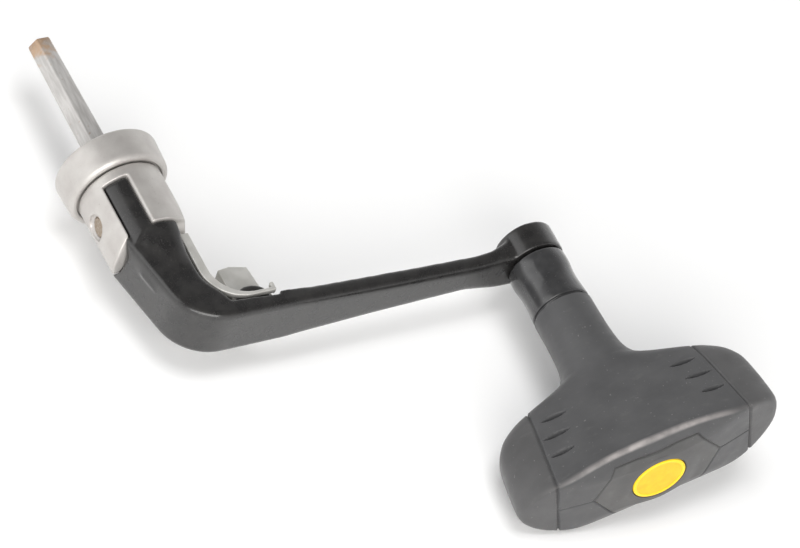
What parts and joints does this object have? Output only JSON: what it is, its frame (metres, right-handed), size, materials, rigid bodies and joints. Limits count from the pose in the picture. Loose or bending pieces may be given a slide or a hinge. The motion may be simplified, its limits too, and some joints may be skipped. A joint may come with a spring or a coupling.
{
  "type": "fishing reel crank handle",
  "caption": "Folding crank handle for a spinning reel: hex drive shaft with collar, hinged L-shaped arm with a release lever, and a freely turning T-bar knob.",
  "frame": {"origin": "on the drive shaft's axis, at the rim of the collar that seats on the reel's side", "axes": "+Y along the drive shaft into the reel, +X along the crank arm towards the knob, +Z square to both"},
  "size_m": [0.1081, 0.1255, 0.0286],
  "materials": {
    "plated_steel": "satin plated steel with light rust at the tip",
    "silver_casting": "satin silver paint on a die casting",
    "seal_rubber": "matte black rubber",
    "pin_steel": "turned steel",
    "nylon": "natural nylon",
    "black_gloss": "gloss black paint with a fine orange peel",
    "bush_bronze": "sintered bronze",
    "lever_metal": "satin silver",
    "spring_steel": "music wire",
    "screw_steel": "zinc plated",
    "bush_plastic": "acetal",
    "ferrule_gloss": "gloss black moulding",
    "core_plastic": "black glass-filled nylon",
    "grip_rubber": "matte dark grey rubber",
    "cap_rubber": "matte dark grey rubber",
    "panel_rubber": "matte grey rubber",
    "badge_yellow": "glossy golden yellow"
  },
  "bodies": {
    "drive": {"drive_shaft": "plated_steel", "collar": "silver_casting", "collar_seal": "seal_rubber", "hinge_clevis": "silver_casting", "fold_pin": "pin_steel", "pivot_washers": "nylon"},
    "arm": {"crank_arm": "black_gloss", "pivot_bush": "bush_bronze", "lever_pin": "pin_steel", "lever_spring": "spring_steel", "knob_axle": "pin_steel", "screw_washer": "pin_steel", "knob_screw": "screw_steel"},
    "lever": {"release_lever": "lever_metal"},
    "knob": {"bush_inboard": "bush_plastic", "bush_outboard": "bush_plastic", "knob_ferrule": "ferrule_gloss", "knob_core": "core_plastic", "knob_grip": "grip_rubber", "end_cap_left": "cap_rubber", "end_cap_right": "cap_rubber", "end_panel": "panel_rubber", "badge_disc": "badge_yellow"}
  },
  "joints": [
    {"name": "fold", "type": "hinge", "parent": "drive", "child": "arm", "pos_m": [0, -0.0137, 0], "axis": [1, 0, 0], "range_deg": [0, 90]},
    {"name": "lever_press", "type": "hinge", "parent": "arm", "child": "lever", "pos_m": [0.0054, -0.0387, 0], "axis": [0, 0, -1], "range_deg": [0, 3.5], "stiffness_Nm_per_rad": 0.15, "springref_deg": -9.74, "deforming": ["lever_spring"]},
    {"name": "knob_spin", "type": "hinge", "parent": "arm", "child": "knob", "pos_m": [0.0714, -0.065, 0], "axis": [0, 1, 0], "continuous": true}
  ]
}
